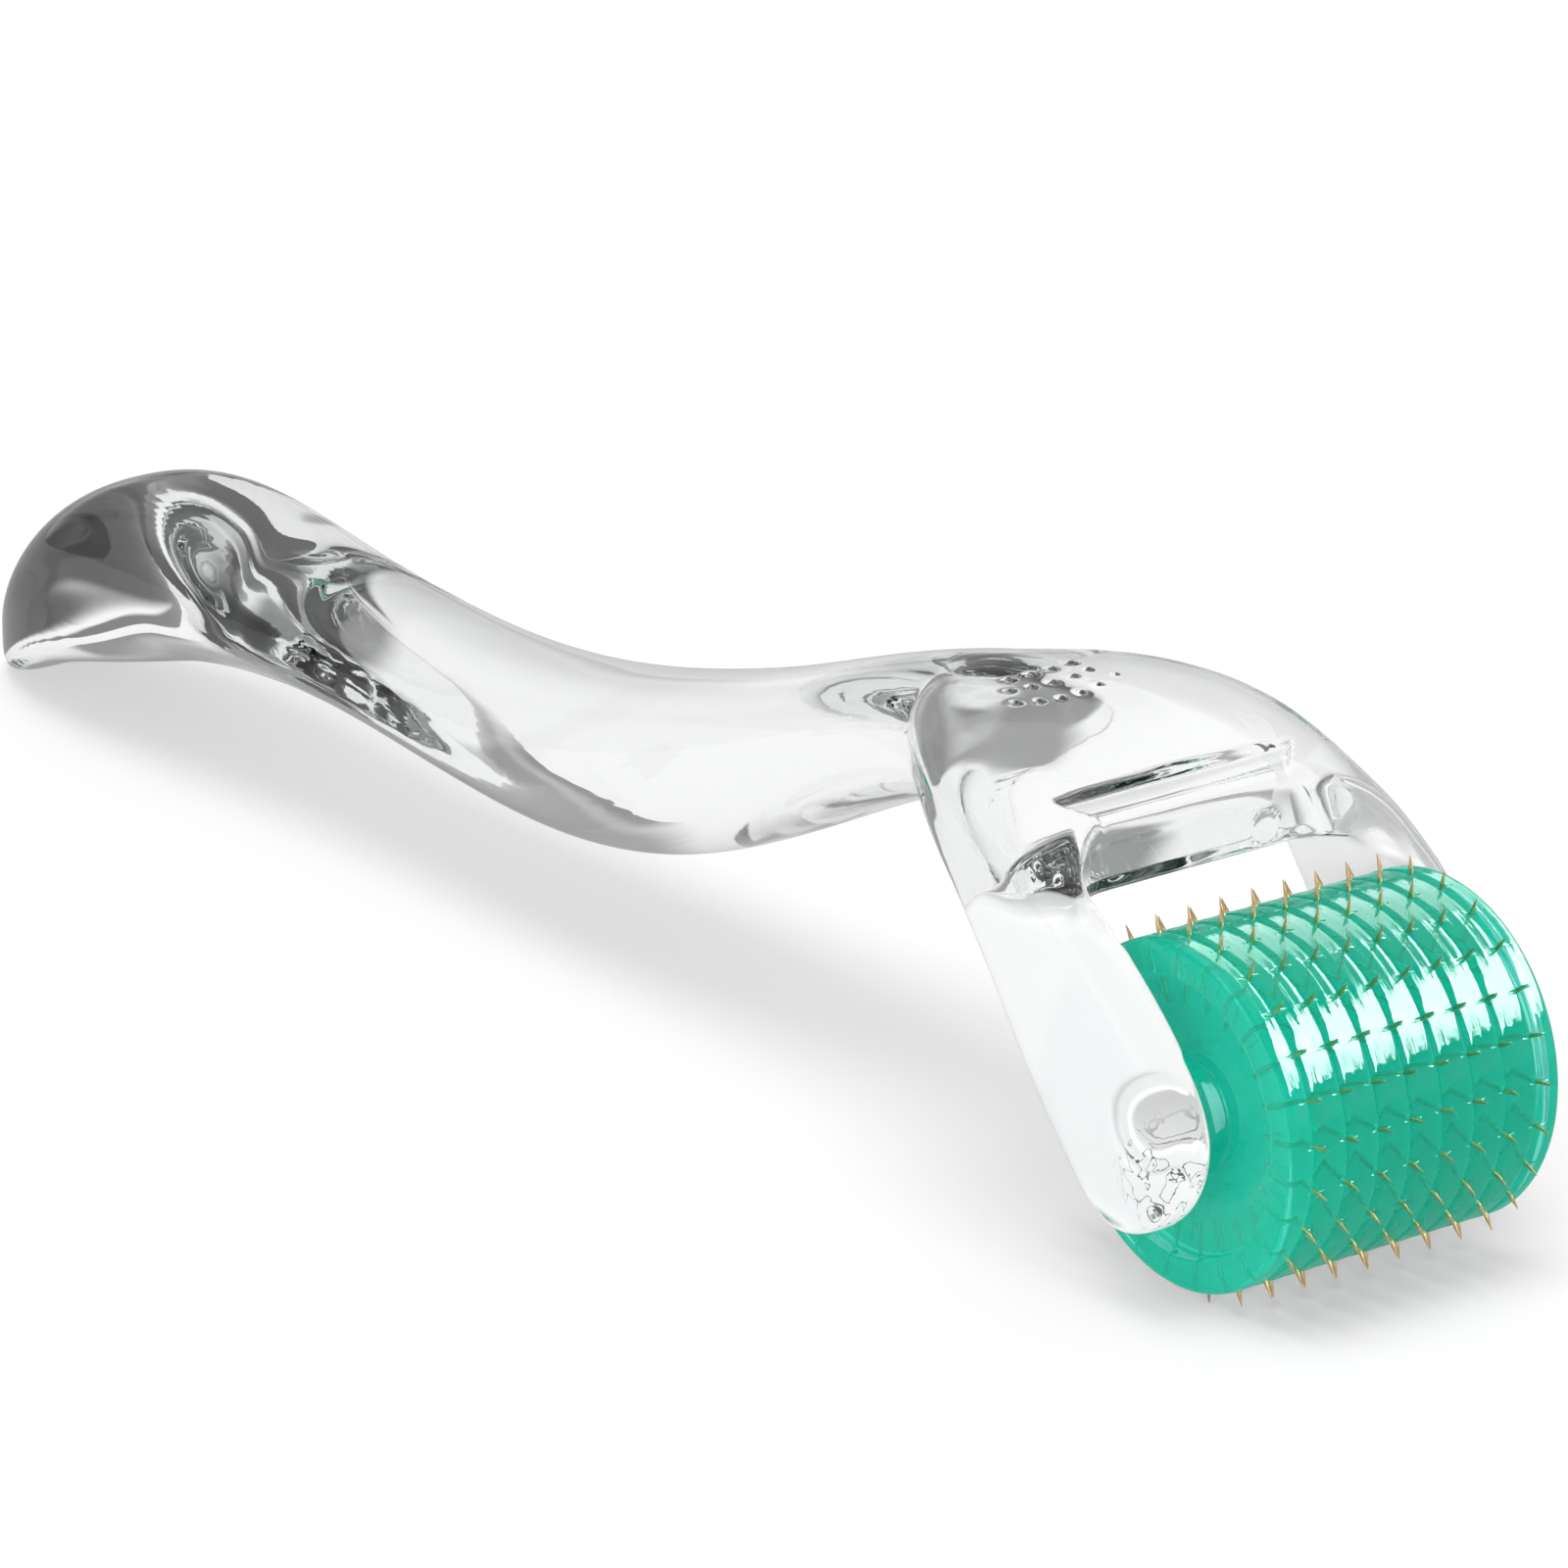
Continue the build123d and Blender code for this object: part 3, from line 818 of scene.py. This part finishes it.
def floor_material():
    material, shader = new_material("studio_floor")
    coords = shader.object_coords()
    noise = shader.add("TexNoise", {"Vector": coords, "Scale": 30})
    white = color_ramp(shader, noise.outputs["Fac"],
                       start=(0.92, 0.92, 0.92, 1), end=(0.94, 0.94, 0.94, 1))
    # the painted shade patches are seen only through the plastic
    rays = shader.rays()
    through = rays["Is Transmission Ray"]
    painted_shade = shader.invert(painted_shade_light(shader, coords))
    light = shader.invert(shader.math("MULTIPLY", through, painted_shade))
    mirror = shader.math("MULTIPLY", rays["Is Glossy Ray"], shader.invert(through))
    dimmed = shader.invert(shader.math("MULTIPLY", mirror, MIRROR_DIMMING))
    light = shader.math("MULTIPLY", light, dimmed)
    color = shader.add("VectorMath", {0: white, "Scale": light}, operation="SCALE")
    surface = shader.add("BsdfPrincipled", {
        "Roughness": 0.7, "Specular IOR Level": 0.2, "Base Color": color})
    shader.add("OutputMaterial", {"Surface": surface})
    return material


def build_floor():
    material = floor_material()
    grid = bmesh.new()
    bmesh.ops.create_grid(grid, x_segments=8, y_segments=8, size=3)
    mesh = bpy.data.meshes.new("studio_floor")
    grid.to_mesh(mesh)
    grid.free()
    mesh.materials.append(material)
    ob = bpy.data.objects.new("studio_floor", mesh)
    scene.collection.objects.link(ob)
    ob.location = (0, 0, -0.00005)


def flag_light(shader):
    axes = shader.axes(shader.add("TexCoord").outputs["Generated"])
    degrees = 180 / math.pi
    elevation = shader.math("MULTIPLY", shader.math("ARCSINE", axes["Z"]), degrees)
    azimuth = shader.math("ARCTAN2", axes["Y"], axes["X"])
    azimuth = shader.math("MULTIPLY", azimuth, degrees)
    total = None
    for middle, half, low, high, soft, darkness in FLAGS:
        offset = shader.math("SUBTRACT", azimuth, middle)
        offset = shader.math("ABSOLUTE", shader.math("WRAP", offset, 180.0, -180.0))
        cover = shader.fade_out(offset, half - soft, half + soft)
        above = shader.fade_in(elevation, low - soft, low + soft)
        cover = shader.math("MULTIPLY", cover, above)
        below = shader.fade_out(elevation, high - soft, high + soft)
        cover = shader.math("MULTIPLY", cover, below)
        total = darken(shader, total, cover, darkness)
    return total


def build_world():
    world = bpy.data.worlds.new("studio")
    scene.world = world
    shader = ShaderTree(world)
    light = flag_light(shader)
    gray = shader.add("CombineColor", {0: light, 1: light, 2: light})
    flags = shader.add("Background", {"Color": gray, "Strength": 1.0})
    # white behind the table for the camera, dimmer as fill light
    rays = shader.rays()
    strength = shader.math("MULTIPLY_ADD", rays["Is Camera Ray"], 0.46, 0.56)
    plain = shader.add("Background", {"Color": (1, 1, 1, 1), "Strength": strength})
    use_plain = shader.math("MAXIMUM", rays["Is Camera Ray"], rays["Is Diffuse Ray"])
    shader.add("OutputWorld", {"Surface": shader.mix_shader(use_plain, flags, plain)})


# ------------------------------------------------------------------ lights and camera
LIGHT_TARGET = (0.045, 0, 0.01)
STRIP_ELEVATION = 34.0
STRIPS = [(24, 30.0), (58, 30.0), (92, 17.0), (126, 5.0)]   # azimuth in degrees, radiance


def add_light(name, kind, direction):
    """Light shining from the given direction."""
    data = bpy.data.lights.new(name, kind)
    light = bpy.data.objects.new(name, data)
    scene.collection.objects.link(light)
    light.rotation_euler = direction.to_track_quat("Z", "Y").to_euler()
    return light


def softbox(name, direction, distance, width, height, radiance):
    direction = Vector(direction).normalized()
    light = add_light(name, "AREA", direction)
    light.location = Vector(LIGHT_TARGET) + direction * distance
    light.data.shape = "RECTANGLE"
    light.data.size = width
    light.data.size_y = height
    light.data.energy = radiance * math.pi * width * height
    return light


def receivers(name, prefixes):
    """Collection of the objects that a linked light falls on."""
    collection = bpy.data.collections.new(name)
    for ob in scene.objects:
        if ob.name.startswith(prefixes):
            collection.objects.link(ob)
    return collection


def only_reflected_by(light, collection):
    light.visible_diffuse = False
    light.visible_transmission = False
    light.light_linking.receiver_collection = collection


def build_lights():
    key = add_light("key_light", "SUN", Vector((0.10, -0.16, 0.98)))
    key.data.energy = 1.72
    key.data.angle = math.radians(34)
    fill = softbox("fill_softbox", direction=(0.26, -0.96, 0.12), distance=0.9,
                   width=0.60, height=0.26, radiance=9.0)
    for light in (key, fill):
        light.visible_glossy = False
        light.visible_transmission = False

    # the strips light the drum only
    drum = receivers("drum_receivers", ("drum_", "core_spool"))
    elevation = math.radians(STRIP_ELEVATION)
    for i, (azimuth, radiance) in enumerate(STRIPS, 1):
        azimuth = math.radians(azimuth)
        direction = (math.cos(azimuth) * math.cos(elevation),
                     math.sin(azimuth) * math.cos(elevation), math.sin(elevation))
        strip = softbox(f"strip_softbox_{i}", direction, distance=1.0,
                        width=0.52, height=0.50, radiance=radiance)
        only_reflected_by(strip, drum)

    # a small softbox beyond the arm ends gives the needles their glint
    needles = receivers("needle_receivers", "needle_row")
    glint = softbox("glint_softbox", direction=(0.78, -0.28, 0.56), distance=0.9,
                    width=0.34, height=0.34, radiance=5.0)
    only_reflected_by(glint, needles)


def build_camera():
    data = bpy.data.cameras.new("camera")
    data.lens = 213.75
    data.sensor_width = 36
    data.clip_start = 0.01
    data.clip_end = 20
    camera = bpy.data.objects.new("camera", data)
    scene.collection.objects.link(camera)
    right = Vector((0.60392014, 0.79704484, 0))
    up = Vector((-0.27280252, 0.20670222, 0.93960256))
    back = Vector((0.74890537, -0.56744491, 0.34226747))
    pose = Matrix((right, up, back)).transposed().to_4x4()
    pose.translation = (0.420553, -0.310083, 0.201290)
    camera.matrix_world = pose
    scene.camera = camera


build_floor()
build_world()
build_lights()
build_camera()

scene.view_settings.view_transform = "Standard"
scene.cycles.max_bounces = 24
scene.cycles.transmission_bounces = 24
scene.cycles.transparent_max_bounces = 24
scene.cycles.glossy_bounces = 12
